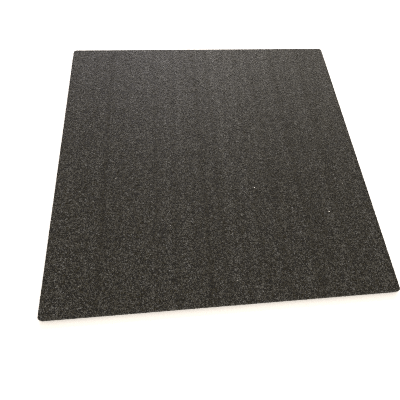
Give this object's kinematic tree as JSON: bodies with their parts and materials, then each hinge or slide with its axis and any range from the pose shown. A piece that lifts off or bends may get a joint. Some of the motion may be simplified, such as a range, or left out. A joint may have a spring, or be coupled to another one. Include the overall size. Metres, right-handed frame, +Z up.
{
  "type": "anti-vibration mat",
  "caption": "Thin square mat of bound rubber crumb, laid under a machine to damp vibration and stop it creeping.",
  "frame": {"origin": "on the floor, under the middle of the mat's underside", "axes": "+Z up through the thickness, away from the floor; +X along the front edge to the right; +Y from the front edge to the back edge"},
  "size_m": [0.6, 0.6, 0.008],
  "materials": {
    "rubber_crumb": "matt, coarse cut crumb"
  },
  "bodies": {
    "root": {"rubber_mat": "rubber_crumb"}
  },
  "joints": []
}
